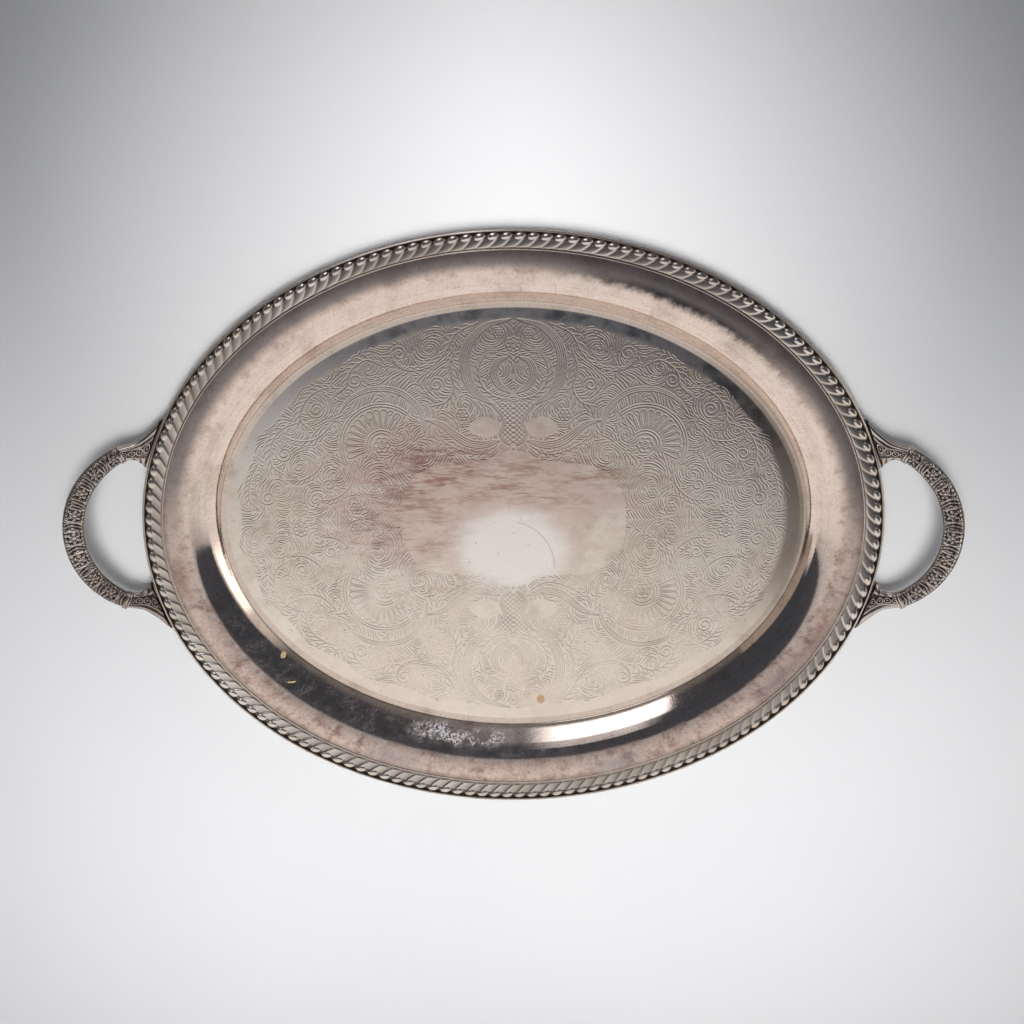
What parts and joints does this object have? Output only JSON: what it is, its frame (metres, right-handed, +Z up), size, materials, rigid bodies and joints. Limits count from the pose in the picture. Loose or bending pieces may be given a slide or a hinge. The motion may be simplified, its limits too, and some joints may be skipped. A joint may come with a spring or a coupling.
{
  "type": "serving tray",
  "caption": "Oval serving tray with an engraved flat well, a rising flange, a gadroon border and an arched bar handle at each end.",
  "frame": {"origin": "centre of the flat underside of the well", "axes": "+X along the long axis towards a handle, +Y across the tray, +Z up, out of the well"},
  "size_m": [0.6628, 0.44, 0.0403],
  "materials": {
    "silver_plate_well": "satin",
    "silver_plate_border": "satin",
    "silver_plate_wire": "polished",
    "silver_plate_handle": "satin",
    "soft_solder": "matte"
  },
  "bodies": {
    "root": {"well_pan": "silver_plate_well", "border_length_1": "silver_plate_border", "border_length_2": "silver_plate_border", "border_length_3": "silver_plate_border", "border_length_4": "silver_plate_border", "border_filling_1": "soft_solder", "border_filling_2": "soft_solder", "border_filling_3": "soft_solder", "border_filling_4": "soft_solder", "edge_wire": "silver_plate_wire", "inner_thread_wire": "silver_plate_wire", "grip_front_left": "silver_plate_handle", "grip_back_left": "silver_plate_handle", "grip_front_right": "silver_plate_handle", "grip_back_right": "silver_plate_handle", "leaf_left_upper": "silver_plate_handle", "leaf_left_lower": "silver_plate_handle", "leaf_right_upper": "silver_plate_handle", "leaf_right_lower": "silver_plate_handle"}
  },
  "joints": []
}
